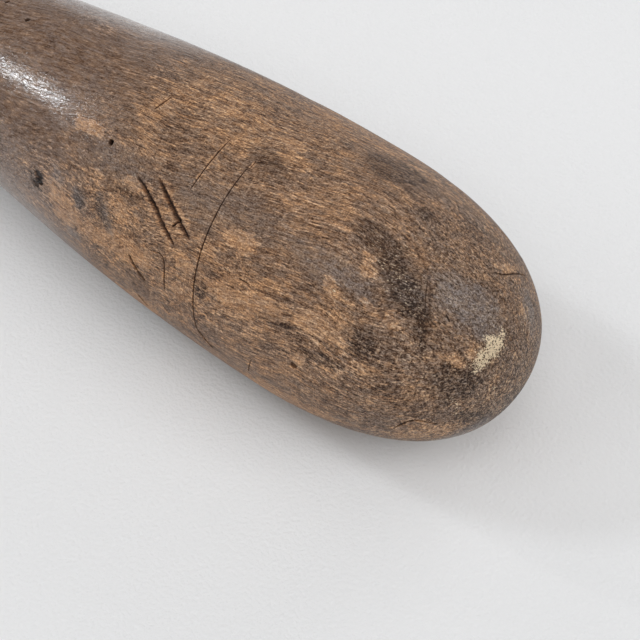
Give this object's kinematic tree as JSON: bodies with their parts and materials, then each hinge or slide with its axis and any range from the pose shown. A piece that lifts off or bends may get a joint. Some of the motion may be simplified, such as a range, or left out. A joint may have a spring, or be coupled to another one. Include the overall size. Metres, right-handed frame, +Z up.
{
  "type": "muddler",
  "caption": "Old turned hardwood muddler: a heavy egg-shaped head tapers in one long curve to a slim grip and a rounded knob.",
  "frame": {"origin": "on the surface that the muddler lies on, under the middle of its bounding box", "axes": "+X towards the head, along the length; +Z up, the muddler lying on its head and its knob"},
  "size_m": [0.3, 0.058, 0.0574],
  "materials": {
    "worn_wood": "dark, hand-polished patina, worn through to orange-brown wood in flecks, satin"
  },
  "bodies": {
    "root": {"muddler_body": "worn_wood"}
  },
  "joints": []
}
